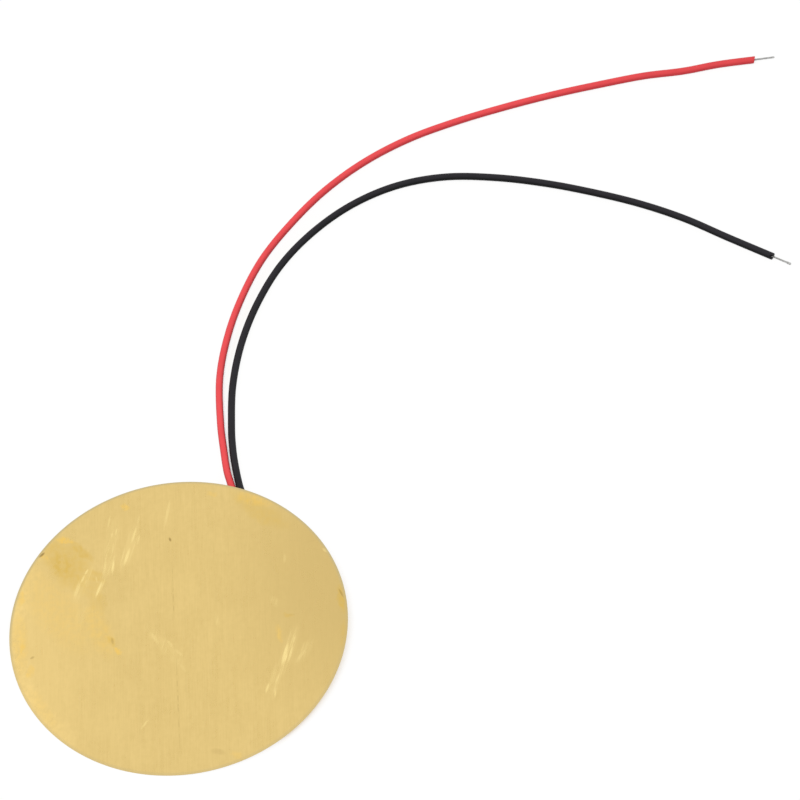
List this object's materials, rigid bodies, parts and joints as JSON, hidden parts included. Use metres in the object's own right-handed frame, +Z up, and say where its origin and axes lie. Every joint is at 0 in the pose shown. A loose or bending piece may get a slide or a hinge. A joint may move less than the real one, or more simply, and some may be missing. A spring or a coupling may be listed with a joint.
{
  "type": "piezo disc",
  "caption": "Thin round brass diaphragm with a silvered piezoelectric ceramic bonded under it and a red and a black soldered lead, used as a buzzer, pickup or vibration sensor.",
  "frame": {"origin": "on the table under the middle of the brass disc, as the part lies at rest", "axes": "+Z up from the table, +Y the way the leads leave the rim, +X to the right of it"},
  "size_m": [0.1252, 0.1171, 0.0023],
  "materials": {
    "brass": "rolled sheet, satin, lightly scuffed",
    "adhesive": "cured epoxy film",
    "silver_film": "fired silver, matte",
    "ceramic": "lapped, matte",
    "solder": "bright, slightly rippled",
    "tinned_copper": "tinned strands",
    "red_pvc": "soft satin",
    "black_pvc": "soft satin"
  },
  "bodies": {
    "root": {"brass_disc": "brass", "adhesive_film": "adhesive", "bonded_electrode": "silver_film", "ceramic_disc": "ceramic", "free_electrode": "silver_film", "red_solder_joint": "solder", "black_solder_joint": "solder", "red_insulation": "red_pvc", "red_conductor": "tinned_copper", "black_insulation": "black_pvc", "black_conductor": "tinned_copper"}
  },
  "joints": []
}
